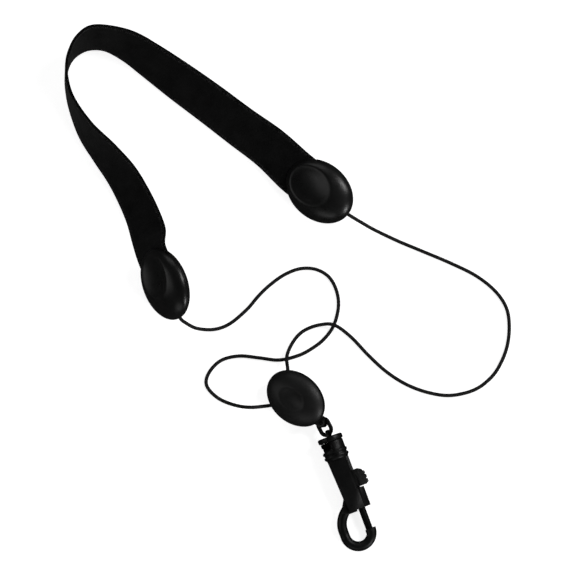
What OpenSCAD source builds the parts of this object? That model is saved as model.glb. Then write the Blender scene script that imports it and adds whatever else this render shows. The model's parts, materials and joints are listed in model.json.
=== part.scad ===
// Adjustable neck strap with a swivel snap hook.
// A webbing neck band ends in two oval clamshell pods. A thin braided cord runs
// from each pod to a third pod, which stores the spare cord on a sprung drum
// under a push cap. A ring and a swivel carry the snap hook.
// Units are millimetres, +Z is up, and the strap lies on the plane Z = 0.

/* [Band] */
// width of the neck band
band_w = 20.5; // [16:0.5:26]
// thickness of the neck band
band_t = 1.5; // [1.2:0.1:2]

/* [End pods] */
// length of an end pod
pod_l = 33.6; // [30:0.2:38]
// width of an end pod
pod_w = 26; // [24:0.2:28]
// thickness of an end pod
pod_t = 13.2; // [12:0.2:15]
// wall of the pod shells
pod_wall = 1.2; // [1:0.1:1.6]

/* [Adjuster] */
// length of the adjuster
adj_l = 29; // [27:0.5:32]
// width of the adjuster
adj_w = 22.4; // [21:0.2:24]
// thickness of the adjuster
adj_t = 12; // [12:0.2:14]
// wall of the cap and the housing
adj_wall = 1.1; // [1:0.1:1.4]
// press of the cap
cap_travel = 0.9; // [0.5:0.1:0.9]

/* [Cord] */
// diameter of the braided cord
cord_d = 1.5; // [1.2:0.1:1.8]

/* [Snap hook] */
// radius of the bolt
bolt_r = 1.55; // [1.4:0.05:1.6]
// radius of the hook's round section
hook_r = 2.15; // [1.9:0.05:2.3]
// radius of the swivel stem
stem_r = 1.3; // [1:0.05:1.5]

/* [Hidden] */

shell_fn = 40;      // facets round the oval shells
round_fn = 32;      // facets round turned pieces
small_fn = 20;      // facets round pins and wires
over = 0.2;         // how far a cutter runs past a face
nudge = 0.01;       // keeps two faces that would meet from lying in one plane
run_gap = 0.06;     // radial clearance of a running fit
trim = [0.4, 0.4, 0.4];     // keeps what is inside a shell below its outer face

black = [0.04, 0.04, 0.045];
satin = [0.06, 0.06, 0.065];
steel = [0.62, 0.62, 0.64];
dark_steel = [0.2, 0.2, 0.21];

// Where each assembly sits: position, then the turns about X, Y and Z.
right_pod_at = [[46.2, 43, 7.66], [20, 0, -40]];
left_pod_at = [[-22.6, -0.4, 10.7], [48, 0, -66]];
adj_at = [[35.4, -51.2, 7.27], [24, -6, -40]];
hook_at = [[50.3, -68.4, 6.3], [0, 4.8, -69.5]];

// Plain vector helpers.
function unit(v) = v / norm(v);
function turn_x(a, v) = [v.x, v.y*cos(a) - v.z*sin(a), v.y*sin(a) + v.z*cos(a)];
function turn_y(a, v) = [v.x*cos(a) + v.z*sin(a), v.y, v.z*cos(a) - v.x*sin(a)];
function turn_z(a, v) = [v.x*cos(a) - v.y*sin(a), v.x*sin(a) + v.y*cos(a), v.z];
function turned(r, v) = turn_z(r.z, turn_y(r.y, turn_x(r.x, v)));
function placed(at, v) = at[0] + turned(at[1], v);

module place(at) { translate(at[0]) rotate(at[1]) children(); }

// Axes as the columns of a matrix, with an origin.
module in_axes(o, x, y, z) {
    multmatrix([[x.x, y.x, z.x, o.x], [x.y, y.y, z.y, o.y], [x.z, y.z, z.z, o.z],
                [0, 0, 0, 1]]) children();
}

// Smooth curve through points: the value at part t of segment i.
function at_end(p, i) = p[max(0, min(len(p) - 1, i))];
function spline(p, i, t) =
    let (a = at_end(p, i - 1), b = at_end(p, i), c = at_end(p, i + 1), d = at_end(p, i + 2))
    0.5*(2*b + (c - a)*t + (2*a - 5*b + 4*c - d)*t*t + (3*b - a - 3*c + d)*t*t*t);
function smooth(p, steps) = concat(
    [for (i = [0 : len(p) - 2], k = [0 : steps - 1]) spline(p, i, k/steps)],
    [p[len(p) - 1]]);

// Faces that join equal rings of points and close both ends.
function skin_faces(rings, sides) = concat(
    [for (r = [0 : rings - 2], s = [0 : sides - 1])
        [r*sides + s, r*sides + (s + 1) % sides, (r + 1)*sides + s]],
    [for (r = [0 : rings - 2], s = [0 : sides - 1])
        [r*sides + (s + 1) % sides, (r + 1)*sides + (s + 1) % sides, (r + 1)*sides + s]],
    [[for (s = [0 : sides - 1]) sides - 1 - s]],
    [[for (s = [0 : sides - 1]) (rings - 1)*sides + s]]);

module oval(size, fn = shell_fn) { scale(size/2) rotate([0, 90, 0]) sphere(r = 1, $fn = fn); }
module tube_z(r, z0, z1, fn = round_fn) { translate([0, 0, z0]) cylinder(r = r, h = z1 - z0, $fn = fn); }
module tube_x(r, x0, x1, fn = round_fn) {
    translate([x0, 0, 0]) rotate([0, 90, 0]) cylinder(r = r, h = x1 - x0, $fn = fn);
}
module half_space(z, up) {
    big = 60;
    translate([-big/2, -big/2, up ? z : z - big]) cube(big);
}

// ---- Neck band ----

// Each station: X, Y and lift of the lower edge, then the compass direction and
// the angle from flat in which the band's width rises from that edge.
band_stations = [
    [-38.4, 21, 1.6, 12, 38], [-40.8, 29.4, 0.6, 15, 41.5], [-44.6, 38.7, 0, 16, 45],
    [-49.8, 48.8, 0, 16, 49], [-56.3, 58.8, 0, 16, 57], [-63.2, 70.1, 0, 10, 68.5],
    [-67.8, 82.5, 0, 0, 79], [-69.9, 92, 0, 0, 82.5], [-70.4, 100, 0, 10, 82],
    [-69, 105.6, 0, 30, 80], [-65.7, 109.8, 0, 48, 78], [-60, 112.5, 0, 62, 75.5],
    [-52.5, 112, 0, 62, 73], [-44.2, 107.2, 0, 52, 61], [-35.4, 100, 0, 50, 52.5],
    [-22.1, 88.9, 0, 50, 43.5], [-8.5, 78.2, 0, 50, 39.5], [4.8, 67.5, 0, 50, 37],
    [18, 56.7, 0.9, 51, 31]];
band_in = -6.8;     // where the band stops inside a pod, along the pod
band_mouth = -15;   // where it crosses the pod's end
band_steps = 3;     // rings between two stations
band_bevel = 0.35;  // softened corners of the band
band_clear = 0.15;  // gap under the band's lower edge

function band_low(s) = [s[0], s[1], s[2] + band_clear + band_t/2*cos(s[4])];
function band_rise(s) = band_w*[cos(s[3])*cos(s[4]), sin(s[3])*cos(s[4]), sin(s[4])];
function band_at_pod(at, x) = [placed(at, [x, -band_w/2, 0]), placed(at, [x, band_w/2, 0])];
band_lines = concat(
    [band_at_pod(left_pod_at, band_in), band_at_pod(left_pod_at, band_mouth)],
    [for (s = band_stations) [band_low(s), band_low(s) + band_rise(s)]],
    [band_at_pod(right_pod_at, band_mouth), band_at_pod(right_pod_at, band_in)]);
band_lo = smooth([for (l = band_lines) l[0]], band_steps);
band_hi = smooth([for (l = band_lines) l[1]], band_steps);

function band_ring(i) =
    let (n = len(band_lo) - 1, a = max(0, i - 1), b = min(n, i + 1),
         along = unit(band_lo[b] + band_hi[b] - band_lo[a] - band_hi[a]),
         mid = (band_lo[i] + band_hi[i])/2,
         out = unit(band_hi[i] - band_lo[i]), up = unit(cross(along, out)),
         w = band_w/2, h = band_t/2, c = band_bevel)
    [for (p = [[-w, c - h], [c - w, -h], [w - c, -h], [w, c - h],
               [w, h - c], [w - c, h], [c - w, h], [-w, h - c]])
        mid + out*p.x + up*p.y];

module neck_band() {
    rings = [for (i = [0 : len(band_lo) - 1]) band_ring(i)];
    color(black) polyhedron([for (r = rings, p = r) p], skin_faces(len(rings), 8));
}

// ---- End pods ----

pod_size = [pod_l, pod_w, pod_t];
pod_in = pod_size - 2*pod_wall*[1, 1, 1];
dimple_x = -4.3;    // centre of the thumb dimple, towards the band
dimple_tilt = -8;
dimple_z = 8.25;
dimple_size = [30.8, 22.8, 9.2];
pad_z = 2.4;        // underside of the thickened wall below the dimple
pad_radii = [11.4, 8.6];
slot_h = 2.3;       // height of the band's slot
slot_gap = [0.4, 0.15];     // room round the band in its slot, at its end and at its sides
bar_x = -8.6;
bar_r = 1.6;
bar_l = 15;
rib = [1, 14];      // rib that holds the bar, along and across the pod
rib_x = -11.4;
stop_x = [11, 14.8];
stop_r = 1.4;
post_at = [[3, 8.6], [3, -8.6], [10.2, 4.6], [10.2, -4.6]];
post_r = 0.9;
post_h = 2.2;
boss_r = 1.7;
cord_hole = cord_d/2 + 0.2;

module dimple() {
    translate([dimple_x, 0, dimple_z]) rotate([0, dimple_tilt, 0]) oval(dimple_size);
}

module pod_half(pegs) {
    difference() {
        union() {
            difference() {
                intersection() {
                    oval(pod_size);
                    half_space(0, true);
                }
                oval(pod_in);
            }
            intersection() {
                oval(pod_size - trim);
                union() {
                    translate([dimple_x, 0, pad_z]) scale([pad_radii.x, pad_radii.y, 1])
                        cylinder(r = 1, h = pod_t, $fn = shell_fn);
                    translate([rib_x, -rib.y/2, slot_h/2]) cube([rib.x, rib.y, pod_t]);
                    for (p = post_at) translate([p.x, p.y, pegs ? 0 : nudge])
                        cylinder(r = boss_r, h = pod_t, $fn = small_fn);
                }
            }
        }
        dimple();
        translate([-pod_l/2 - over, -band_w/2 - slot_gap.y, -slot_h/2])
            cube([pod_l/2 + over + band_in + slot_gap.x, band_w + 2*slot_gap.y, slot_h]);
        tube_x(cord_hole, stop_x[1] - over, pod_l, small_fn);
        if (!pegs) for (p = post_at) translate([p.x, p.y, -over])
            cylinder(r = post_r, h = post_h + 2*over, $fn = small_fn);
    }
    if (pegs) for (p = post_at) translate([p.x, p.y, -post_h])
        cylinder(r = post_r, h = post_h + over, $fn = small_fn);
}

module pod_front(at) { color(satin) place(at) pod_half(true); }
module pod_back(at) { color(satin) place(at) mirror([0, 0, 1]) pod_half(false); }
module band_bar(at) {
    color(steel) place(at) translate([bar_x, bar_l/2, 0]) rotate([90, 0, 0])
        cylinder(r = bar_r, h = bar_l, $fn = small_fn);
}
module cord_stop(at) {
    color(steel) place(at) difference() {
        tube_x(stop_r, stop_x[0], stop_x[1], small_fn);
        tube_x(cord_d/2 + 0.03, stop_x[0] - over, stop_x[1] + over, small_fn);
    }
}

module right_pod_front() pod_front(right_pod_at);
module right_pod_back() pod_back(right_pod_at);
module right_band_bar() band_bar(right_pod_at);
module right_cord_stop() cord_stop(right_pod_at);
module left_pod_front() pod_front(left_pod_at);
module left_pod_back() pod_back(left_pod_at);
module left_band_bar() band_bar(left_pod_at);
module left_cord_stop() cord_stop(left_pod_at);

// ---- Adjuster ----

adj_size = [adj_l, adj_w, adj_t];
adj_in = adj_size - 2*adj_wall*[1, 1, 1];
cap_z = 1.2;        // lower edge of the cap
rim_z = cap_z - cap_travel - 0.4;   // upper edge of the housing
liner_out = [24.2, 17.6];
liner_in = [22.4, 15.8];
liner_top = 0.95;
bridge_z = [0, 0.9];
hub_r = 2;
hub_z = -2.1;
cap_stem_r = 1.1;
cap_pad_z = 3.1;
cap_pad = [15.6, 11.6];
cap_seat = 0.6;     // how far the stem goes into the cap
cap_dimple_at = [-0.4, 0, 7.55];
cap_dimple = [16, 11.2, 6.4];
brake_z = [-3.1, -2.2];
drum_z = [-3.1, -0.1];
drum_r = 7.3;
core_r = 4.6;
flange_t = 0.45;
brake_r = 3.4;
neck_r = 0.7;       // the stem's thinner end, in the brake disc
cord_z = -1.75;     // height of the cord's glands
gland_x = [-3, 3.4];        // ends of a gland's bore, from the rim inwards
gland_a = [-10.9, 7.5];     // cord of the right pod, on the rim
gland_a_in = -54;           // direction in which it enters
gland_b = [-7, -9.6];       // cord of the left pod
gland_b_in = 48;
lug_at = [15.7, -1.9, -2.75];
ring_r = 0.9;       // radius of the ring's wire
ring_gap = ring_r + 0.12;   // half the gap between the ears
ring_room = 3.7;    // radius of the space for the ring's end between the ears
lug_h = ring_gap + 0.75;    // half the height of the lug over its two ears
ear_w = 4.6;        // width of the lug's ears
pin_r = 0.8;

function heading(a) = [cos(a), sin(a), 0];
function gland(g, a, d) = [g.x, g.y, cord_z] + heading(a)*d;

module oval_plate(size, z0, z1) {
    translate([0, 0, z0]) scale([size.x/2, size.y/2, 1]) cylinder(r = 1, h = z1 - z0, $fn = shell_fn);
}
module gland_bore(g, a) {
    translate(gland(g, a, gland_x[0])) rotate([0, 90, a])
        cylinder(r = cord_hole, h = gland_x[1] - gland_x[0], $fn = small_fn);
}

// The lug has its own axes: the pin's centre, and the pin's line along Z.
module lug() {
    translate([0, 0, -lug_h]) linear_extrude(2*lug_h)
        polygon([[-4.8, -ear_w/2], [0.2, -ear_w/2], [1.6, -0.9], [1.6, 0.9], [0.2, ear_w/2],
                 [-4.8, ear_w/2]]);
}
module at_lug() {
    x = turned(adj_at[1], [1, 0, 0]);
    lug_x = unit(x - ring_n*(x*ring_n));
    in_axes(lug_point, lug_x, cross(ring_n, lug_x), ring_n) children();
}

module adjuster_housing() {
    color(black) difference() {
        union() {
            place(adj_at) difference() {
                intersection() {
                    oval(adj_size);
                    half_space(rim_z, false);
                }
                oval(adj_in);
            }
            place(adj_at) intersection() {
                difference() {
                    oval_plate(liner_out, -adj_t/2, liner_top);
                    oval_plate(liner_in, -adj_t, adj_t);
                }
                oval(adj_size - trim);
            }
            at_lug() lug();
        }
        place(adj_at) gland_bore(gland_a, gland_a_in);
        place(adj_at) gland_bore(gland_b, gland_b_in);
        at_lug() tube_z(ring_room, -ring_gap, ring_gap);
        at_lug() tube_z(pin_r - nudge, -lug_h - over, lug_h + over, small_fn);
    }
}

module drum_bridge() {
    color(satin) place(adj_at) difference() {
        union() {
            oval_plate(liner_in - 2*[nudge, nudge], bridge_z[0], bridge_z[1]);
            tube_z(hub_r, hub_z, bridge_z[0] + nudge);
        }
        tube_z(cap_stem_r + run_gap, hub_z - over, bridge_z[1] + over, small_fn);
    }
}

module adjuster_cap() {
    color(black) place(adj_at) difference() {
        union() {
            difference() {
                intersection() {
                    oval(adj_size);
                    half_space(cap_z, true);
                }
                oval(adj_in);
            }
            intersection() {
                oval(adj_size - trim);
                oval_plate(cap_pad, cap_pad_z, adj_t);
            }
        }
        translate(cap_dimple_at) oval(cap_dimple);
        tube_z(cap_stem_r, cap_pad_z - over, cap_pad_z + cap_seat, small_fn);
    }
}
module cap_stem() {
    color(satin) place(adj_at) {
        tube_z(cap_stem_r, brake_z[1], cap_pad_z + cap_seat, small_fn);
        tube_z(neck_r, brake_z[0], brake_z[1] + nudge, small_fn);
    }
}
module brake_disc() {
    color(dark_steel) place(adj_at) difference() {
        tube_z(brake_r, brake_z[0], brake_z[1]);
        tube_z(neck_r - nudge, brake_z[0] - over, brake_z[1] + over, small_fn);
    }
}

// Open coil of round wire about Z, made of one closed skin.
function coil_point(r, pitch, z0, a) = [r*cos(a), r*sin(a), z0 + pitch*a/360];
module coil(r, wire, z0, z1, turns, per_turn = 14) {
    pitch = (z1 - z0 - 2*wire)/turns;
    n = turns*per_turn;
    rings = [for (i = [0 : n])
        let (a = 360*i/per_turn, c = coil_point(r, pitch, z0 + wire, a), o = heading(a))
        for (k = [0 : 4]) c + wire*(o*cos(72*k) + [0, 0, 1]*sin(72*k))];
    polyhedron(rings, skin_faces(n + 1, 5));
}
module cap_spring() {
    color(steel) place(adj_at) coil(2.9, 0.18, bridge_z[1] + 0.02, cap_pad_z - 0.02, 2.5);
}

module cord_drum() {
    color(satin) place(adj_at) rotate_extrude($fn = round_fn) polygon([
        [hub_r + run_gap, -2.1], [3.7, -2.1], [3.7, drum_z[0]], [drum_r, drum_z[0]],
        [drum_r, drum_z[0] + flange_t], [core_r, drum_z[0] + flange_t],
        [core_r, drum_z[1] - flange_t], [drum_r, drum_z[1] - flange_t],
        [drum_r, drum_z[1]], [4.1, drum_z[1]], [4.1, -1.1], [hub_r + run_gap, -1.1]]);
}
module cord_winding() {
    z0 = drum_z[0] + flange_t + 2*nudge;
    z1 = drum_z[1] - flange_t - 2*nudge;
    row = (z1 - z0)/2;
    valley_r = 6.3;
    crown_r = 6.6;
    color(black) place(adj_at) rotate_extrude($fn = round_fn) polygon([
        [core_r + 2*nudge, z0], [valley_r, z0], [crown_r, z0 + row/2], [valley_r, z0 + row],
        [crown_r, z1 - row/2], [valley_r, z1], [core_r + 2*nudge, z1]]);
}

// Flat spiral spring between the hub and the drum.
spiral_turns = 3;
spiral_in = 2.25;
spiral_out = 3.75;
function spiral_r(f) = spiral_in + (spiral_out - spiral_in)*f;
module drum_spring() {
    n = 72;
    strip = 0.12;
    side = [for (i = [0 : n]) let (f = i/n) heading(360*spiral_turns*f)*spiral_r(f)];
    back = [for (i = [n : -1 : 0]) let (f = i/n) heading(360*spiral_turns*f)*(spiral_r(f) + strip)];
    color(steel) place(adj_at) translate([0, 0, -1]) linear_extrude(0.8)
        polygon([for (p = concat(side, back)) [p.x, p.y]]);
}

module lug_pin() {
    head_r = 1.2;
    head_t = 0.4;
    color(steel) at_lug() {
        tube_z(pin_r, -lug_h - head_t/4, lug_h, small_fn);
        tube_z(head_r, -lug_h - head_t, -lug_h, small_fn);
    }
}

// ---- Cords ----

// Routes on the table, X and Y and the height of the cord's middle.
lie = cord_d/2 + 0.1;
over_lie = cord_d*1.5 + 0.25;
right_route = [
    [65, 29, 5.6], [71.5, 26, 2.7], [83, 20.9, lie], [94, 16.2, lie], [105, 11.4, lie],
    [116.5, 5.5, lie], [125, -1.5, lie], [129.8, -9, lie], [131, -17, lie], [130, -26, lie],
    [127, -34, lie], [122.5, -40.7, lie], [115, -46.3, lie], [104.5, -48.9, lie],
    [94.9, -47.8, lie], [85.2, -44.3, lie], [76.2, -38.6, lie], [68, -31, lie],
    [60, -22.5, 1.2], [52.5, -17.4, over_lie], [46, -17.2, 1.4], [40, -19.2, lie],
    [36, -22.5, 1.2], [32.9, -27.5, 2.2], [31.4, -32.4, 3.4]];
left_route = [
    [-13.4, -17.4, 7.4], [-8.5, -19.3, 4.2], [-1, -19.2, 1.4], [6, -16.5, lie],
    [13.6, -10, lie], [18.8, -3.8, lie], [24, 1.3, lie], [30.5, 6, lie], [37.5, 8.7, lie],
    [44.5, 8.4, lie], [50.4, 4.9, lie], [53.8, -1.5, lie], [54.6, -9, lie], [52.4, -17.4, lie],
    [48, -23.6, lie], [42.5, -27.9, lie], [36.5, -31, lie], [28, -33, lie], [19, -32, lie],
    [10, -31.2, lie], [2, -33.3, lie], [-3.3, -39, lie], [-4.1, -44.6, lie],
    [0.8, -50, 0.9], [8, -53.3, 2], [15.5, -54.7, 4]];
function cord_from_pod(at) = [placed(at, [stop_x[0] + 0.2, 0, 0]), placed(at, [pod_l/2, 0, 0])];
function cord_to_gland(g, a) = [placed(adj_at, gland(g, a, -0.6)), placed(adj_at, gland(g, a, 2))];
right_line = concat(cord_from_pod(right_pod_at), right_route, cord_to_gland(gland_a, gland_a_in));
left_line = concat(cord_from_pod(left_pod_at), left_route, cord_to_gland(gland_b, gland_b_in));
cord_sides = 8;

module cord(line, steps) {
    path = smooth(line, steps);
    n = len(path) - 1;
    points = [for (i = [0 : n])
        let (t = unit(path[min(n, i + 1)] - path[max(0, i - 1)]),
             a = unit(cross(t, [0, 0, 1])), b = cross(a, t))
        for (k = [0 : cord_sides - 1])
            path[i] + cord_d/2*(a*cos(45*k) - b*sin(45*k))];
    polyhedron(points, skin_faces(n + 1, cord_sides));
}
module right_cord() { color(black) cord(right_line, 2); }
module left_cord() { color(black) cord(left_line, 2); }

// ---- Link ring and swivel ----

lug_point = placed(adj_at, lug_at);
lug_axis = turned(adj_at[1], [0, 0, 1]);
hook_x = turned(hook_at[1], [1, 0, 0]);
eye_x = -1.5;       // centre of the swivel's eye, in front of its collar
eye_r = 2;          // outer radius of the eye
eye_t = 1.2;        // thickness of the eye
eye_bore = 1.32;
groove_l = 6;       // length of the groove that the bore leaves in the collar's face
eye_point = placed(hook_at, [eye_x, 0, 0]);
ring_x = unit(eye_point - lug_point);
ring_n = unit(lug_axis - ring_x*(lug_axis*ring_x));
ring_y = cross(ring_n, ring_x);
ring_back = pin_r + ring_r + 0.12;
ring_long = norm(eye_point - lug_point) + ring_back;
ring_bend = 2.5;    // radius of the ring's end bends
eye_axis = unit(ring_y - hook_x*(ring_y*hook_x));
eye_up = cross(hook_x, eye_axis);

module link_ring() {
    straight = ring_long - 2*ring_bend;
    color(dark_steel) in_axes(lug_point - ring_x*ring_back, ring_x, ring_y, ring_n)
        translate([ring_bend, 0, 0]) {
            for (s = [0, 1]) translate([s*straight, 0, 0]) rotate(s == 0 ? 90 : -90)
                rotate_extrude(angle = 180, $fn = round_fn) translate([ring_bend, 0])
                    circle(ring_r, $fn = small_fn);
            for (s = [-1, 1]) translate([0, s*ring_bend, 0]) tube_x(ring_r, 0, straight, small_fn);
        }
}

module swivel_eye() {
    collar_r = 5.6;
    collar_x = [-0.5, 1.7];
    head_r = 2.2;
    head_x = [4.6, 6.3];
    color(black) in_axes(hook_at[0], hook_x, eye_axis, eye_up) difference() {
        union() {
            rotate([0, 90, 0]) rotate_extrude($fn = round_fn) polygon([
                [0, collar_x[0]], [collar_r - 0.5, collar_x[0]], [collar_r, collar_x[0] + 0.4],
                [collar_r, collar_x[1] - 0.3], [collar_r - 0.3, collar_x[1]],
                [stem_r, collar_x[1]], [stem_r, head_x[0]], [head_r, head_x[0] + 0.3],
                [head_r, head_x[1] - 0.3], [head_r - 0.4, head_x[1]], [0, head_x[1]]]);
            translate([eye_x, 0, 0]) rotate([90, 0, 0])
                cylinder(r = eye_r, h = eye_t, center = true, $fn = round_fn);
            translate([eye_x, -eye_t/2, -eye_r]) cube([collar_x[1] - 1.2 - eye_x, eye_t, 2*eye_r]);
        }
        translate([eye_x, 0, 0]) rotate([90, 0, 0])
            cylinder(r = eye_bore, h = groove_l, center = true, $fn = small_fn);
    }
}

// ---- Snap hook, in its own axes: X from the eye to the bend, Y to the knob ----

barrel_r = 5.1;
barrel_x = 1.8;     // front face of the barrel, just behind the swivel's collar
ridge_r = 5.55;
body_t = 6.4;
bolt_y = 2.3;
bend_c = [43, -2.9];
bend_r = 5.9;
side_c = [40.4, 1.2];
side_r = 10;
knob_x = [16.6, 24.4];
bolt_tail = [0.8, 13.6];    // radius and end of the bolt's thin tail
bolt_tip = 44.6;
channel_x = [9.8, 24.6];
channel_z = 2;      // half the width of the knob's channel
flange_y = 5;       // outer edge of the rear wall of the knob's channel
flange_z = 2.8;
facet = [2.5, 1];   // bevel along the front wall: where it starts across, and its depth
rail_x = [24.8, 33.5];
socket_r = 2.25;    // end of the bend, which the bolt's tip goes into
knob_y = 5.2;       // underside of the knob's grip
grip_z = 2.5;
grip_lines = [18.1, 19.8, 21.5];    // grooves across the face of the grip
spring_x = [6.95, 16.55];
head_room = [3.4, 6.5];     // pocket of the swivel's head
side_slot = [3.6, 5.6];     // its opening, at the side away from the knob

module arc(c, r, a0, a1) {
    translate([c.x, c.y, 0]) rotate(a0) rotate_extrude(angle = a1 - a0, $fn = 2*round_fn)
        translate([r, 0]) circle(hook_r, $fn = small_fn);
}

module hook_body() {
    color(black) place(hook_at) difference() {
        union() {
            rotate([0, 90, 0]) rotate_extrude($fn = round_fn) polygon([
                [0, barrel_x], [barrel_r - 0.3, barrel_x], [barrel_r, barrel_x + 0.3], [barrel_r, 5.9],
                [ridge_r, 6.1], [ridge_r, 7], [barrel_r, 7.2], [barrel_r, 7.9],
                [ridge_r, 8.1], [ridge_r, 9], [barrel_r, 9.3], [barrel_r - 0.4, 10], [0, 10]]);
            translate([0, 0, -body_t/2]) linear_extrude(body_t)
                polygon([[9.15, -4.6], [33.4, -3.4], [33.4, 3.5], [9.15, 3.5]]);
            translate([9.2, 0, -flange_z]) cube([16.2, flange_y, flange_z]);
            translate([0, 0, -2.4]) linear_extrude(4.8)
                polygon([[24, 0], [34.2, 0], [34.2, -3.6], [33, -7], [30, -5.3], [26.5, -3.3]]);
            translate([rail_x[0], 0, 0]) rotate([90, 0, 90]) linear_extrude(rail_x[1] - rail_x[0])
                polygon([[0, -3.1], [4.3, -3.1], [6.5, -0.9], [6.5, 0.9], [4.3, 3.1], [0, 3.1]]);
            arc(side_c, side_r, -156, -90);
            translate([0, side_c.y - side_r, 0])
                tube_x(hook_r - 0.02, side_c.x - 0.3, bend_c.x + 0.3, small_fn);
            arc(bend_c, bend_r, -90, 90);
            translate([0, bolt_y + 0.25, 0]) tube_x(socket_r, 43.2, 45.6, round_fn);
        }
        tube_x(stem_r + run_gap, 1, 4, small_fn);
        tube_x(2.5, head_room[0], head_room[1], round_fn);
        translate([side_slot[0], -2*barrel_r, -2.45])
            cube([side_slot[1] - side_slot[0], 2*barrel_r - 0.5, 3*barrel_r]);
        translate([1, -2*barrel_r, -1.2]) cube([2.8, 2*barrel_r - 0.7, 3*barrel_r]);
        translate([9, 0, 0]) rotate([90, 0, 90]) linear_extrude(rail_x[0] - 9)
            polygon([[facet[0], body_t/2 + nudge], [3.5 + facet[1], body_t/2 + nudge],
                     [3.5 + facet[1], body_t/2 - 2*facet[1]]]);
        translate([0, bolt_y, 0]) {
            tube_x(1.5, spring_x[0] - 0.05, channel_x[0] + over, small_fn);
            tube_x(bolt_r + run_gap, channel_x[1] - over, 34.4, round_fn);
            tube_x(bolt_r + 0.1, 42, bolt_tip + 0.3, round_fn);
        }
        translate([channel_x[0], bolt_y - 1.7, -channel_z])
            cube([channel_x[1] - channel_x[0], 10, 2*channel_z]);
    }
}

module hook_bolt() {
    color(dark_steel) place(hook_at) translate([0, bolt_y, 0]) rotate([0, 90, 0])
        rotate_extrude($fn = round_fn) polygon([
            [0, bolt_tail[1]], bolt_tail, [bolt_tail[0], knob_x[0]], [bolt_r, knob_x[0]],
            [bolt_r, bolt_tip - 0.3], [bolt_r - 0.3, bolt_tip], [0, bolt_tip]]);
}

module thumb_knob() {
    color(black) place(hook_at) difference() {
        union() {
            translate([knob_x[0], bolt_y, 0.1 - channel_z])
                cube([knob_x[1] - knob_x[0], knob_y + 0.5 - bolt_y, 2*channel_z - 0.2]);
            translate([0, 0, -grip_z]) linear_extrude(2*grip_z)
                polygon([[knob_x[0], knob_y], [knob_x[1], knob_y], [24.4, 7.9], [23.6, 9.2],
                         [22.4, 9.2], [22, 8.6], [21.6, 9.2], [20.4, 9.2], [20, 8.6],
                         [19.6, 9.1], [18.6, 8.9], [18.3, 8.2], [17.6, 8.1], [16.6, 6.3]]);
        }
        for (x = grip_lines) translate([x, 6.4, grip_z - 0.3]) cube([0.5, 4, 1]);
        translate([0, bolt_y, 0]) tube_x(bolt_r, knob_x[0] - over, knob_x[1] + over, round_fn);
    }
}

module bolt_spring() {
    color(steel) place(hook_at) translate([0, bolt_y, 0]) rotate([0, 90, 0])
        coil(1.2, 0.2, spring_x[0], spring_x[1], 6, 12);
}

neck_band();
right_pod_front();
right_pod_back();
right_band_bar();
right_cord_stop();
left_pod_front();
left_pod_back();
left_band_bar();
left_cord_stop();
right_cord();
left_cord();
adjuster_housing();
drum_bridge();
adjuster_cap();
cap_stem();
brake_disc();
cap_spring();
cord_drum();
cord_winding();
drum_spring();
lug_pin();
link_ring();
swivel_eye();
hook_body();
hook_bolt();
thumb_knob();
bolt_spring();
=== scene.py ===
"""Looks for the neck strap: webbing band, three pods, two braided cords and a snap hook.

Everything is in metres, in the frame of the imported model. +Z is up, and the
strap lies on the plane Z = 0 with its hook towards -Y.
"""
import json
import math

import bmesh
import bpy
from mathutils import Euler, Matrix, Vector, noise


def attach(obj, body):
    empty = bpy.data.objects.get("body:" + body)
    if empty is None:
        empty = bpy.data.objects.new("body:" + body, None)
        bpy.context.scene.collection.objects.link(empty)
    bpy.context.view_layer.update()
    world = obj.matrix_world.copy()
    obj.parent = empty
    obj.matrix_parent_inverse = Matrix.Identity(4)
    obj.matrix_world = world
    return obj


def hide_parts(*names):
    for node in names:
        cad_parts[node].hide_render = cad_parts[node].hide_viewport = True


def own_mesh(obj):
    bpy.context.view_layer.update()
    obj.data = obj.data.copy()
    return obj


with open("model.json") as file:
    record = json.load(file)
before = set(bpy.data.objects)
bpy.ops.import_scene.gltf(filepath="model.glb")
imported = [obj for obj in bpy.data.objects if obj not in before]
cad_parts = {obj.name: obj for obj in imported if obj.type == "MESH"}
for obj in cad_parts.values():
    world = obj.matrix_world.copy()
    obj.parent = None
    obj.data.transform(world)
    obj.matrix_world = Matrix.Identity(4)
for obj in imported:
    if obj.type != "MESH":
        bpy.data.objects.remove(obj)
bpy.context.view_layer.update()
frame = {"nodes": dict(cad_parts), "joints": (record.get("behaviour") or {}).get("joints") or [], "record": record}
NODES = frame["nodes"]
MM = 0.001


# ---- Camera ----

def make_camera():
    """A long lens high over the strap, leaning slightly from the hook's side."""
    data = bpy.data.cameras.new("camera")
    data.lens = 111.11
    data.sensor_width = 36.0
    data.clip_start, data.clip_end = 0.05, 10.0
    cam = bpy.data.objects.new("camera", data)
    bpy.context.scene.collection.objects.link(cam)
    target = Vector((0.032, 0.0, 0.0))
    elevation = math.radians(78.0)
    back = Vector((0.0, -math.cos(elevation), math.sin(elevation)))
    cam.location = target + back * 0.8
    cam.rotation_euler = (-back).to_track_quat("-Z", "Y").to_euler()
    bpy.context.scene.camera = cam


make_camera()


# ---- Curves and meshes ----

def placed(at, point):
    """A point of an assembly's own axes, in the frame. at is position, then turns in degrees."""
    turn = Euler([math.radians(a) for a in at[1]], "XYZ").to_matrix()
    return Vector(at[0]) + turn @ Vector(point)


def spline(points, i, t):
    """Catmull-Rom value at part t of segment i."""
    last = len(points) - 1
    a, b, c, d = (points[max(0, min(last, k))] for k in (i - 1, i, i + 1, i + 2))
    return 0.5 * (2 * b + (c - a) * t + (2 * a - 5 * b + 4 * c - d) * t * t
                  + (3 * b - a - 3 * c + d) * t * t * t)


def smooth(points, steps):
    points = [Vector(p) for p in points]
    out = [spline(points, i, k / steps) for i in range(len(points) - 1) for k in range(steps)]
    return out + [points[-1]]


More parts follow.
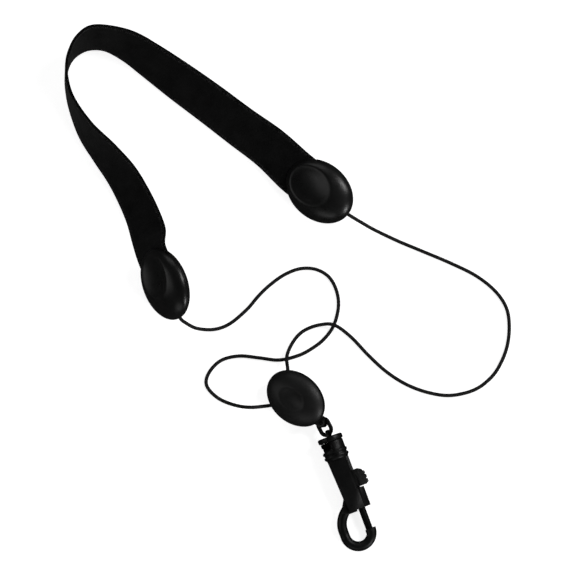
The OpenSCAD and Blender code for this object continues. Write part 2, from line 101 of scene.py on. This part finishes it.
def evenly(points, gap):
    """The same line with points about gap apart."""
    run = [0.0]
    for a, b in zip(points, points[1:]):
        run.append(run[-1] + (b - a).length)
    count = max(2, round(run[-1] / gap))
    out, k = [], 0
    for j in range(count + 1):
        s = run[-1] * j / count
        while k < len(points) - 2 and run[k + 1] < s:
            k += 1
        part = (s - run[k]) / (run[k + 1] - run[k])
        out.append(points[k].lerp(points[k + 1], min(1.0, part)))
    return out, run[-1]


def skin(name, rings, uv):
    """Closed mesh through rings of equally many points. uv(ring, side) gives its map."""
    sides = len(rings[0])
    verts = [p for ring in rings for p in ring]
    faces, maps = [], []
    for r in range(len(rings) - 1):
        for s in range(sides):
            n = (s + 1) % sides
            faces.append((r * sides + s, r * sides + n, (r + 1) * sides + n, (r + 1) * sides + s))
            maps.append((uv(r, s), uv(r, s + 1), uv(r + 1, s + 1), uv(r + 1, s)))
    for r, order in ((0, range(sides - 1, -1, -1)), (len(rings) - 1, range(sides))):
        faces.append(tuple(r * sides + s for s in order))
        maps.append(tuple(uv(r, s) for s in order))
    mesh = bpy.data.meshes.new(name)
    mesh.from_pydata([tuple(v) for v in verts], [], faces)
    layer = mesh.uv_layers.new(name="UVMap")
    k = 0
    for corner_maps in maps:
        for pair in corner_maps:
            layer.data[k].uv = pair
            k += 1
    for poly in mesh.polygons:
        poly.use_smooth = True
    mesh.update()
    obj = bpy.data.objects.new(name, mesh)
    bpy.context.scene.collection.objects.link(obj)
    return obj


# ---- Cords: the route's points are those of the CAD model, in millimetres ----

RIGHT_POD_AT = ((46.2, 43, 7.66), (20, 0, -40))
LEFT_POD_AT = ((-22.6, -0.4, 10.7), (48, 0, -66))
ADJUSTER_AT = ((35.4, -51.2, 7.27), (24, -6, -40))
POD_LENGTH = 33.6
STOP_FACE = 11.2
GLAND_Z = -1.75
CORD_D = 1.5
LIE = CORD_D / 2 + 0.1
OVER = CORD_D * 1.5 + 0.25
STRANDS = 6
BRAID_LAY = 1.45
BRAID_RISE = 0.10

RIGHT_ROUTE = [
    (65, 29, 5.6), (71.5, 26, 2.7), (83, 20.9, LIE), (94, 16.2, LIE), (105, 11.4, LIE),
    (116.5, 5.5, LIE), (125, -1.5, LIE), (129.8, -9, LIE), (131, -17, LIE), (130, -26, LIE),
    (127, -34, LIE), (122.5, -40.7, LIE), (115, -46.3, LIE), (104.5, -48.9, LIE),
    (94.9, -47.8, LIE), (85.2, -44.3, LIE), (76.2, -38.6, LIE), (68, -31, LIE),
    (60, -22.5, 1.2), (52.5, -17.4, OVER), (46, -17.2, 1.4), (40, -19.2, LIE),
    (36, -22.5, 1.2), (32.9, -27.5, 2.2), (31.4, -32.4, 3.4)]
LEFT_ROUTE = [
    (-13.4, -17.4, 7.4), (-8.5, -19.3, 4.2), (-1, -19.2, 1.4), (6, -16.5, LIE),
    (13.6, -10, LIE), (18.8, -3.8, LIE), (24, 1.3, LIE), (30.5, 6, LIE), (37.5, 8.7, LIE),
    (44.5, 8.4, LIE), (50.4, 4.9, LIE), (53.8, -1.5, LIE), (54.6, -9, LIE), (52.4, -17.4, LIE),
    (48, -23.6, LIE), (42.5, -27.9, LIE), (36.5, -31, LIE), (28, -33, LIE), (19, -32, LIE),
    (10, -31.2, LIE), (2, -33.3, LIE), (-3.3, -39, LIE), (-4.1, -44.6, LIE),
    (0.8, -50, 0.9), (8, -53.3, 2), (15.5, -54.7, 4)]
RIGHT_GLAND = ((-10.9, 7.5), -54)
LEFT_GLAND = ((-7, -9.6), 48)


def cord_line(pod_at, route, gland):
    """The whole cord's points: out of its pod, along the route and into the adjuster."""
    (gx, gy), heading = gland
    hx, hy = math.cos(math.radians(heading)), math.sin(math.radians(heading))
    inside = [placed(ADJUSTER_AT, (gx + hx * d, gy + hy * d, GLAND_Z)) for d in (-0.6, 2)]
    pod = [placed(pod_at, (STOP_FACE, 0, 0)), placed(pod_at, (POD_LENGTH / 2, 0, 0))]
    return pod + [Vector(p) for p in route] + inside


def braid_height(along, turn):
    """Height from 0 to 1 of a round braid: strands that wind both ways, over and under."""
    a, b = turn + along, turn - along
    over = (math.floor(a) + math.floor(b)) % 2 == 0
    across, length = (a % 1.0, b % 1.0) if over else (b % 1.0, a % 1.0)
    return math.sin(math.pi * across) ** 0.6 * (0.65 + 0.35 * math.sin(math.pi * length))


def make_cord(name, pod_at, route, gland, cad_node):
    line = [Vector((p.x, p.y, max(p.z, LIE))) * MM
            for p in smooth(cord_line(pod_at, route, gland), 16)]
    path, length = evenly(line, 0.24 * MM)
    sides = 24
    step = length / (len(path) - 1) / (BRAID_LAY * MM)
    rings = []
    for i, p in enumerate(path):
        ahead, behind = path[min(len(path) - 1, i + 1)], path[max(0, i - 1)]
        t = (ahead - behind).normalized()
        a = t.cross(Vector((0, 0, 1))).normalized()
        b = a.cross(t)
        ring = []
        for s in range(sides):
            angle = 2 * math.pi * s / sides
            rise = BRAID_RISE * braid_height(i * step, STRANDS * s / sides)
            radius = CORD_D / 2 * MM * (1.0 + rise)
            ring.append(p + radius * (a * math.cos(angle) - b * math.sin(angle)))
        rings.append(ring)
    obj = skin(name, rings, lambda r, s: (r * step, STRANDS * s / sides))
    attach(obj, "strap")
    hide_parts(cad_node)
    return obj


right_cord = make_cord("braided_cord_right", RIGHT_POD_AT, RIGHT_ROUTE, RIGHT_GLAND, "right_cord")
left_cord = make_cord("braided_cord_left", LEFT_POD_AT, LEFT_ROUTE, LEFT_GLAND, "left_cord")


# ---- Neck band ----

BAND_W, BAND_T = 20.5, 1.5
BAND_UV = 0.01          # the band's map: one unit for every 100 mm
BEAD_R = 0.62           # rounding of the two long edges
SEAM_IN, SEAM_W, SEAM_DEPTH = 1.75, 0.28, 0.10
SELVEDGE = 1.6
RIB_PITCH = 0.8
BAND_STATIONS = [
    (-38.4, 21, 1.6, 12, 38), (-40.8, 29.4, 0.6, 15, 41.5), (-44.6, 38.7, 0, 16, 45),
    (-49.8, 48.8, 0, 16, 49), (-56.3, 58.8, 0, 16, 57), (-63.2, 70.1, 0, 10, 68.5),
    (-67.8, 82.5, 0, 0, 79), (-69.9, 92, 0, 0, 82.5), (-70.4, 100, 0, 10, 82),
    (-69, 105.6, 0, 30, 80), (-65.7, 109.8, 0, 48, 78), (-60, 112.5, 0, 62, 75.5),
    (-52.5, 112, 0, 62, 73), (-44.2, 107.2, 0, 52, 61), (-35.4, 100, 0, 50, 52.5),
    (-22.1, 88.9, 0, 50, 43.5), (-8.5, 78.2, 0, 50, 39.5), (4.8, 67.5, 0, 50, 37),
    (18, 56.7, 0.9, 51, 31)]
BAND_IN, BAND_MOUTH = -6.8, -15


def band_edges():
    """The band's lower and upper edge lines, in millimetres."""
    low, high = [], []
    for x in (BAND_IN, BAND_MOUTH):
        low.append(placed(LEFT_POD_AT, (x, -BAND_W / 2, 0)))
        high.append(placed(LEFT_POD_AT, (x, BAND_W / 2, 0)))
    for x, y, lift, direction, tilt in BAND_STATIONS:
        d, t = math.radians(direction), math.radians(tilt)
        foot = Vector((x, y, lift + 0.15 + BAND_T / 2 * math.cos(t)))
        rise = Vector((math.cos(d) * math.cos(t), math.sin(d) * math.cos(t), math.sin(t)))
        low.append(foot)
        high.append(foot + BAND_W * rise)
    for x in (BAND_MOUTH, BAND_IN):
        low.append(placed(RIGHT_POD_AT, (x, -BAND_W / 2, 0)))
        high.append(placed(RIGHT_POD_AT, (x, BAND_W / 2, 0)))
    return smooth(low, 24), smooth(high, 24)


def band_profile():
    """One face of the band's section: across from -1 to 1, and height over the band's middle."""
    rows = 30
    out = []
    for k in range(rows + 1):
        across = -math.cos(math.pi * k / rows)
        edge = (1 - abs(across)) * BAND_W / 2
        bead = math.sqrt(max(0.0, 1 - max(0.0, 1 - edge / BEAD_R) ** 2))
        dip = SEAM_DEPTH * math.exp(-((edge - SEAM_IN) / SEAM_W) ** 2)
        out.append((across, (BAND_T / 2 - 0.06) * bead - dip))
    return out


def make_band():
    low, high = band_edges()
    profile = band_profile()
    rows = len(profile)
    rings, run = [], [0.0]
    for i in range(len(low)):
        a, b = max(0, i - 1), min(len(low) - 1, i + 1)
        along = (low[b] + high[b] - low[a] - high[a]).normalized()
        middle = (low[i] + high[i]) / 2
        out = (high[i] - low[i]).normalized()
        up = along.cross(out).normalized()
        if i:
            run.append(run[-1] + (middle - last).length)
        last = middle
        ring = []
        for face in (-1, 1):
            rowset = profile if face < 0 else profile[-2:0:-1]
            for across, height in rowset:
                p = middle + out * (across * BAND_W / 2)
                nap = noise.noise(Vector((run[-1] * 1.3, across * 13, face * 5.0)))
                edge = (1 - abs(across)) * BAND_W / 2
                rib = 0.035 * math.sin(run[-1] * 2 * math.pi / RIB_PITCH) if edge < SELVEDGE else 0
                wavy = 0.05 * noise.noise(Vector((run[-1] * 0.25, across * 2, 9.0 + face)))
                lift = height + min(1.0, edge) * (0.045 * nap + wavy) + rib * min(1.0, edge)
                ring.append((p + up * (face * lift)) * MM)
        rings.append(ring)
    total = 2 * (rows - 1)

    def uv(r, s):
        s = s % total
        across = profile[s][0] if s < rows else profile[2 * rows - 2 - s][0]
        return (run[r] * BAND_UV, across * BAND_W / 2 * BAND_UV)

    obj = skin("webbing_band", rings, uv)
    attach(obj, "strap")
    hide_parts("neck_band")
    return obj


band = make_band()


# ---- Moulded shells with a thumb dimple ----

class Oval:
    """An ellipsoid of given centre, half sizes and tilt about Y, with a distance to its skin."""

    def __init__(self, size, centre=(0.0, 0.0, 0.0), tilt=0.0):
        self.half = [v / 2 for v in size]
        self.centre = Vector(centre)
        self.back = Euler((0.0, math.radians(tilt), 0.0), "XYZ").to_matrix().transposed()

    def distance(self, p):
        q = self.back @ (p - self.centre)
        k = math.sqrt(sum((v / h) ** 2 for v, h in zip(q, self.half)))
        slope = math.sqrt(sum((v / h ** 2) ** 2 for v, h in zip(q, self.half)))
        return (k - 1.0) * k / max(slope, 1e-9)


def soft_max(a, b, soft):
    """The larger of two numbers, with the corner between them rounded off."""
    h = max(0.0, soft - abs(a - b)) / soft
    return max(a, b) + h * h * soft / 4


def shell_rings(size, dimple, wall, rim, ceiling, soft):
    """Rings of half an oval case with a soft dimple: outer skin, rolled rim, hollow inside."""
    outer, inner = Oval(size), Oval([v - 2 * wall for v in size])
    around, down, inside = 144, 56, 12

    def surface(direction):
        low, high = 0.0, max(size)
        for _ in range(24):
            mid = (low + high) / 2
            p = direction * mid
            if soft_max(outer.distance(p), -dimple.distance(p), soft) < 0:
                low = mid
            else:
                high = mid
        return direction * low

    def section(half, z):
        return math.sqrt(max(0.0, 1 - (z / half[2]) ** 2))

    def flat_ring(rx, ry, z):
        turns = (2 * math.pi * i / around for i in range(around))
        return [Vector((rx * math.cos(turn), ry * math.sin(turn), z)) for turn in turns]

    rings = []
    rim_angle = math.asin(rim / outer.half[2]) + 0.02
    for j in range(1, down + 1):
        f = j / down
        lat = math.pi / 2 + (rim_angle - math.pi / 2) * f
        ring = []
        for i in range(around):
            turn = 2 * math.pi * i / around
            ring.append(surface(Vector((
                outer.half[0] * math.cos(lat) * math.cos(turn),
                outer.half[1] * math.cos(lat) * math.sin(turn),
                outer.half[2] * math.sin(lat))).normalized()))
        rings.append(ring)
    flat = section(outer.half, rim)
    for inset, lift in ((0.02, 0.07), (0.09, 0.02), (0.3, 0.0)):
        rings.append(flat_ring(outer.half[0] * flat - inset, outer.half[1] * flat - inset,
                               rim + lift))
    for j in range(inside + 1):
        z = rim + (ceiling - rim) * j / inside
        part = section(inner.half, z) if j < inside else 0.02
        rings.append(flat_ring(inner.half[0] * part, inner.half[1] * part, z))
    return rings


def shell_piece(name, at, rings, flip=1.0):
    """The half case placed in its assembly, or turned over to be the other half."""
    world = [[placed(at, (p.x, p.y * flip, p.z * flip)) * MM for p in ring] for ring in rings]
    around, turns = len(world[0]), len(world)
    return skin(name, world[::-1], lambda r, s: (s / around, r / turns))


def cut(obj, cutter):
    """Takes one closed mesh out of another, for good."""
    step = obj.modifiers.new("cut", "BOOLEAN")
    step.operation = "DIFFERENCE"
    step.solver = "EXACT"
    step.object = cutter
    bpy.context.view_layer.update()
    mesh = bpy.data.meshes.new_from_object(obj.evaluated_get(bpy.context.evaluated_depsgraph_get()))
    obj.modifiers.clear()
    obj.data = mesh
    bpy.data.objects.remove(cutter)


def box_at(at, low, high):
    """A closed box between two corners of an assembly's own axes."""
    corners = [placed(at, (x, y, z)) * MM
               for x in (low[0], high[0]) for y in (low[1], high[1]) for z in (low[2], high[2])]
    mesh = bpy.data.meshes.new("cutter")
    mesh.from_pydata([tuple(c) for c in corners], [],
                     [(0, 1, 3, 2), (4, 6, 7, 5), (0, 4, 5, 1), (2, 3, 7, 6), (0, 2, 6, 4),
                      (1, 5, 7, 3)])
    obj = bpy.data.objects.new("cutter", mesh)
    bpy.context.scene.collection.objects.link(obj)
    return obj


POD_SIZE = (POD_LENGTH, 26.0, 13.2)
POD_DIMPLE = Oval((30.8, 22.8, 9.2), (-4.3, 0.0, 8.25), -8.0)
BAND_SLOT = ((-20, -10.45, -1.15), (-6.4, 10.45, 1.15))
CORD_HOLE = ((14.4, -0.9, -0.9), (20, 0.9, 0.9))
CAP_SIZE = (29.0, 22.4, 12.0)
CAP_DIMPLE = Oval((16.0, 11.2, 6.4), (-0.4, 0.0, 7.55))


def make_pod(side, at, rings):
    pieces = []
    for half, flip in (("front", 1.0), ("back", -1.0)):
        obj = shell_piece(f"{side}_pod_shell_{half}", at, rings, flip)
        for opening in (BAND_SLOT, CORD_HOLE):
            cut(obj, box_at(at, *opening))
        for poly in obj.data.polygons:
            poly.use_smooth = True
        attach(obj, "strap")
        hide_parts(f"{side}_pod_{half}")
        pieces.append(obj)
    return pieces


def make_cap():
    rings = shell_rings(CAP_SIZE, CAP_DIMPLE, wall=1.1, rim=1.2, ceiling=3.1, soft=0.6)
    obj = shell_piece("push_cap", ADJUSTER_AT, rings)
    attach(obj, "cap")
    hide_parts("adjuster_cap")
    return obj


pod_rings = shell_rings(POD_SIZE, POD_DIMPLE, wall=1.2, rim=0.02, ceiling=2.4, soft=0.7)
pods = make_pod("right", RIGHT_POD_AT, pod_rings) + make_pod("left", LEFT_POD_AT, pod_rings)
push_cap = make_cap()


# ---- Springs: welded copies of the imported coils ----

def make_spring(name, node, joint_name):
    """A welded copy of a coil, carried by the body that holds its node, in place of the hidden CAD coil."""
    joint = next(j for j in frame["joints"] if j["name"] == joint_name)
    bodies = frame["record"]["behaviour"]["bodies"]
    mesh = NODES[node].data.copy()
    work = bmesh.new()
    work.from_mesh(mesh)
    bmesh.ops.remove_doubles(work, verts=work.verts, dist=0.001 * MM)
    work.to_mesh(mesh)
    work.free()
    obj = bpy.data.objects.new(name, mesh)
    bpy.context.scene.collection.objects.link(obj)
    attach(obj, next(body for body, nodes in bodies.items() if node in nodes))
    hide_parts(node)
    axis = Vector(joint["axis"])
    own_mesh(obj)
    return obj


springs = [make_spring("cap_coil", "cap_spring", "cap_press"),
           make_spring("bolt_coil", "bolt_spring", "bolt_slide")]


# ---- Materials ----

class Nodes:
    """Short calls for building one material's node tree."""

    def __init__(self, name):
        self.material = bpy.data.materials.new(name)
        self.material.use_nodes = True
        self.tree = self.material.node_tree
        self.shader = self.tree.nodes["Principled BSDF"]

    def add(self, kind, inputs=None, **settings):
        node = self.tree.nodes.new(kind)
        for key, value in settings.items():
            setattr(node, key, value)
        for key, value in (inputs or {}).items():
            self.feed(node.inputs[key], value)
        return node

    def feed(self, socket, value):
        if isinstance(value, bpy.types.NodeSocket):
            self.tree.links.new(value, socket)
        else:
            socket.default_value = value

    def math(self, operation, a, b=0.0):
        node = self.add("ShaderNodeMath", operation=operation)
        self.feed(node.inputs[0], a)
        self.feed(node.inputs[1], b)
        return node.outputs[0]

    def place(self, output="Object"):
        return self.add("ShaderNodeTexCoord").outputs[output]

    def noise(self, scale, detail=3.0, roughness=0.5):
        node = self.add("ShaderNodeTexNoise", {"Scale": scale, "Detail": detail,
                                               "Roughness": roughness, "Vector": self.place()})
        return node.outputs["Fac"]

    def streaks(self, scale, place, squeeze):
        """Noise drawn out into lines, by a map that is squeezed across them."""
        lines = self.add("ShaderNodeMapping", {"Vector": place, "Scale": (1.0, squeeze, 1.0)})
        node = self.add("ShaderNodeTexNoise", {"Scale": scale, "Detail": 4.0,
                                               "Vector": lines.outputs[0]})
        return node.outputs["Fac"]

    def spread(self, value, low, high, to_low=0.0, to_high=1.0):
        node = self.add("ShaderNodeMapRange", {"Value": value, "From Min": low, "From Max": high,
                                               "To Min": to_low, "To Max": to_high})
        return node.outputs["Result"]

    def mix(self, part, a, b):
        node = self.add("ShaderNodeMix", data_type="RGBA")
        self.feed(node.inputs[0], part)
        self.feed(node.inputs[6], a)
        self.feed(node.inputs[7], b)
        return node.outputs[2]

    def bump(self, height, distance, strength):
        node = self.add("ShaderNodeBump", {"Height": height, "Distance": distance,
                                           "Strength": strength})
        return node.outputs["Normal"]

    def set(self, **values):
        for key, value in values.items():
            self.feed(self.shader.inputs[key.replace("_", " ")], value)


def grey(value, warm=0.0):
    return (value * (1 + warm), value, value * (1 - warm), 1.0)


def plastic(name, tone, rough, grain, grain_depth, spec=0.5):
    """Moulded plastic: fine spark-eroded grain, faint clouding and handling marks."""
    n = Nodes(name)
    fine = n.noise(grain, 2.0)
    cloud = n.noise(90.0, 4.0)
    wipes = n.noise(420.0, 5.0, roughness=0.7)
    n.set(Base_Color=n.mix(n.spread(cloud, 0.35, 0.65), grey(tone * 0.8), grey(tone * 1.25)),
          Roughness=n.spread(n.math("ADD", n.math("MULTIPLY", wipes, 0.5),
                                    n.math("MULTIPLY", cloud, 0.5)),
                             0.35, 0.65, rough - 0.05, rough + 0.07),
          Specular_IOR_Level=spec, Normal=n.bump(fine, grain_depth, 0.6))
    return n.material


def webbing():
    """Napped webbing: soft mottled pile, and a ribbed, speckled selvedge down both edges."""
    n = Nodes("napped_webbing")
    split = n.add("ShaderNodeSeparateXYZ", {"Vector": n.place("UV")})
    reach = n.math("ABSOLUTE", split.outputs[1])
    half = BAND_W / 2
    selvedge = n.spread(reach, (half - 2.1) * BAND_UV, (half - 1.3) * BAND_UV)
    rim = n.spread(reach, (half - 0.6) * BAND_UV, (half - 0.2) * BAND_UV)
    pile = n.noise(2600.0, 3.0, roughness=0.65)
    cloud = n.noise(160.0, 4.0)
    strokes = n.streaks(60.0, n.place("UV"), 9.0)
    tone = n.math("ADD", n.math("MULTIPLY", pile, 0.5),
                  n.math("ADD", n.math("MULTIPLY", cloud, 0.3),
                         n.math("MULTIPLY", strokes, 0.2)))
    plush = n.mix(n.spread(tone, 0.38, 0.62), grey(0.0028), grey(0.0108))
    weave = n.add("ShaderNodeTexWave", {"Scale": 40.0, "Distortion": 2.5, "Detail": 2.0,
                                        "Detail Scale": 3.0, "Vector": n.place("UV")})
    speck = n.noise(1500.0, 1.0)
    knots = n.math("MULTIPLY", weave.outputs["Fac"], n.spread(speck, 0.40, 0.60))
    woven = n.mix(knots, grey(0.0012), grey(0.050))
    colour = n.mix(selvedge, plush, woven)
    colour = n.mix(n.math("MULTIPLY", rim, 0.8), colour, grey(0.001))
    height = n.math("ADD", n.math("MULTIPLY", pile, 0.6), n.math("MULTIPLY", knots, selvedge))
    n.set(Base_Color=colour, Roughness=0.95, Specular_IOR_Level=0.05,
          Sheen_Weight=0.03, Sheen_Roughness=0.5, Sheen_Tint=grey(0.5),
          Normal=n.bump(height, 0.00018, 0.9))
    return n.material


def braid():
    """Round braid: strands wound both ways, with painted highlight flecks on the strand crowns."""
    n = Nodes("braided_sleeve")
    split = n.add("ShaderNodeSeparateXYZ", {"Vector": n.place("UV")})
    along, turn = split.outputs[0], split.outputs[1]
    left = n.math("PINGPONG", n.math("ADD", turn, along), 0.5)
    right = n.math("PINGPONG", n.math("SUBTRACT", turn, along), 0.5)
    crown = n.math("MULTIPLY", left, right)
    fibre = n.noise(5200.0, 2.0)
    fleck = n.noise(900.0, 2.0)
    # Painted highlight: paler flecks on the strand crowns, where light would catch the strands.
    lit = n.math("MULTIPLY", n.spread(crown, 0.05, 0.20), n.spread(fleck, 0.46, 0.60))
    n.set(Base_Color=n.mix(lit, grey(0.0014), grey(0.042)),
          Roughness=n.spread(fibre, 0.3, 0.7, 0.55, 0.8), Specular_IOR_Level=0.3,
          Sheen_Weight=0.04, Sheen_Tint=grey(0.5),
          Normal=n.bump(n.math("ADD", crown, n.math("MULTIPLY", fibre, 0.12)), 0.00010, 0.8))
    return n.material


def metal(name, tone, rough):
    """Drawn metal with fine scratches and a little tarnish."""
    n = Nodes(name)
    cloud = n.noise(260.0, 4.0)
    lines = n.streaks(700.0, n.place(), 7.0)
    n.set(Base_Color=n.mix(n.spread(cloud, 0.3, 0.7), grey(tone * 0.75), grey(tone, 0.01)),
          Metallic=1.0,
          Roughness=n.spread(lines, 0.3, 0.7, rough - 0.06, rough + 0.06),
          Normal=n.bump(lines, 0.00002, 0.4))
    return n.material


def rubber():
    """Dull rubber with a faint bloom."""
    n = Nodes("brake_rubber")
    bloom = n.noise(700.0, 4.0)
    n.set(Base_Color=n.mix(bloom, grey(0.012), grey(0.03)),
          Roughness=n.spread(bloom, 0.3, 0.7, 0.7, 0.9), Normal=n.bump(bloom, 0.00005, 0.5))
    return n.material


SATIN = plastic("satin_shell", 0.0062, 0.30, 2200.0, 0.00002, 0.34)
MATTE = plastic("matt_shell", 0.0060, 0.46, 2600.0, 0.00003, 0.40)
HOOK = plastic("moulded_hook", 0.0030, 0.40, 2400.0, 0.00003, 0.24)
KNOB = plastic("thumb_grip", 0.0078, 0.46, 2400.0, 0.00003, 0.40)
INNER = plastic("inner_moulding", 0.016, 0.5, 1800.0, 0.00002)
RING = plastic("coated_ring_wire", 0.0014, 0.40, 1500.0, 0.00001, 0.16)
STEEL = metal("bright_steel", 0.62, 0.28)
DARK_ROD = plastic("bolt_rod", 0.0026, 0.45, 1500.0, 0.00001, 0.12)

FINISHES = {
    MATTE: ["adjuster_housing"],
    HOOK: ["hook_body", "swivel_eye"],
    KNOB: ["thumb_knob"],
    INNER: ["drum_bridge", "cord_drum", "cap_stem"],
    RING: ["link_ring", "lug_pin"],
    DARK_ROD: ["hook_bolt"],
    STEEL: ["right_band_bar", "left_band_bar", "right_cord_stop", "left_cord_stop",
            "drum_spring"],
    rubber(): ["brake_disc"],
}
EDGE_ROUND = 0.12 * MM


def finish_node(name, material):
    """A CAD node keeps its shape, and gets its material and lightly rounded edges."""
    obj = NODES[name]
    obj.data.materials.clear()
    obj.data.materials.append(material)
    for poly in obj.data.polygons:
        poly.use_smooth = True
    weld = obj.modifiers.new("weld", "WELD")
    weld.merge_threshold = 0.001 * MM
    bevel = obj.modifiers.new("soft_edges", "BEVEL")
    bevel.width = EDGE_ROUND
    bevel.segments = 2
    bevel.limit_method = "ANGLE"
    bevel.angle_limit = math.radians(32.0)
    bevel.harden_normals = True


for material, names in FINISHES.items():
    for name in names:
        finish_node(name, material)

for obj in pods:
    obj.data.materials.append(SATIN)
push_cap.data.materials.append(MATTE)
for obj in springs:
    obj.data.materials.clear()
    obj.data.materials.append(STEEL)
braid_look = braid()
for obj in (right_cord, left_cord):
    obj.data.materials.append(braid_look)
NODES["cord_winding"].data.materials.clear()
NODES["cord_winding"].data.materials.append(braid_look)
band.data.materials.append(webbing())


# ---- Floor and light ----

FLOOR_HALF = 3.2
WALL_RADIUS, WALL_HEIGHT, WALL_SIDES = 3.0, 3.0, 64
STAGE_GLOW = 0.85


def make_floor():
    """A plain pale floor, kept out of glossy reflection so that black plastic stays dark."""
    half = FLOOR_HALF
    mesh = bpy.data.meshes.new("studio_floor")
    mesh.from_pydata([(-half, -half, 0), (half, -half, 0), (half, half, 0), (-half, half, 0)],
                     [], [(0, 1, 2, 3)])
    floor = bpy.data.objects.new("studio_floor", mesh)
    bpy.context.scene.collection.objects.link(floor)
    n = Nodes("pale_floor")
    paper = n.noise(400.0, 3.0)
    n.set(Base_Color=n.mix(paper, grey(0.80), grey(0.84)), Roughness=0.9,
          Emission_Color=grey(1.0), Emission_Strength=STAGE_GLOW)
    mesh.materials.append(n.material)
    floor.visible_glossy = False


def make_backdrop():
    """A pale wall far round the floor, which views from low down see. It lights nothing."""
    sides = WALL_SIDES
    turns = [2 * math.pi * i / sides for i in range(sides)]
    verts = [(WALL_RADIUS * math.cos(turn), WALL_RADIUS * math.sin(turn), z)
             for z in (0.0, WALL_HEIGHT) for turn in turns]
    faces = [(i, (i + 1) % sides, (i + 1) % sides + sides, i + sides) for i in range(sides)]
    mesh = bpy.data.meshes.new("studio_backdrop")
    mesh.from_pydata(verts, [], faces)
    wall = bpy.data.objects.new("studio_backdrop", mesh)
    bpy.context.scene.collection.objects.link(wall)
    n = Nodes("pale_wall")
    n.set(Base_Color=grey(0.8), Roughness=0.9,
          Emission_Color=grey(1.0), Emission_Strength=STAGE_GLOW)
    mesh.materials.append(n.material)
    wall.visible_glossy = False
    wall.visible_diffuse = False


def make_light(name, where, target, size, power):
    data = bpy.data.lights.new(name, "AREA")
    data.shape = "RECTANGLE"
    data.size, data.size_y = size
    data.energy = power
    light = bpy.data.objects.new(name, data)
    light.location = where
    aim = Vector(target) - Vector(where)
    light.rotation_euler = aim.to_track_quat("-Z", "Y").to_euler()
    bpy.context.scene.collection.objects.link(light)


def make_world(strength):
    world = bpy.data.worlds.new("studio")
    world.use_nodes = True
    back = world.node_tree.nodes["Background"]
    back.inputs["Color"].default_value = (1.0, 1.0, 1.0, 1.0)
    back.inputs["Strength"].default_value = strength
    bpy.context.scene.world = world


make_floor()
make_backdrop()
CENTRE = (0.03, 0.0, 0.0)
make_light("softbox_right", (0.75, 0.35, 0.75), CENTRE, (0.32, 0.32), 4.4)
make_light("softbox_left", (-0.8, -0.1, 0.50), CENTRE, (0.5, 0.6), 1.0)
make_light("softbox_corner", (0.85, -0.75, 0.40), CENTRE, (0.3, 0.3), 4.2)
make_light("softbox_front", (-0.15, -0.9, 0.35), CENTRE, (0.6, 0.3), 0.7)
make_light("softbox_back", (-0.1, 0.9, 0.8), CENTRE, (0.8, 0.4), 1.3)
make_world(0.02)
bpy.context.scene.view_settings.view_transform = "Standard"
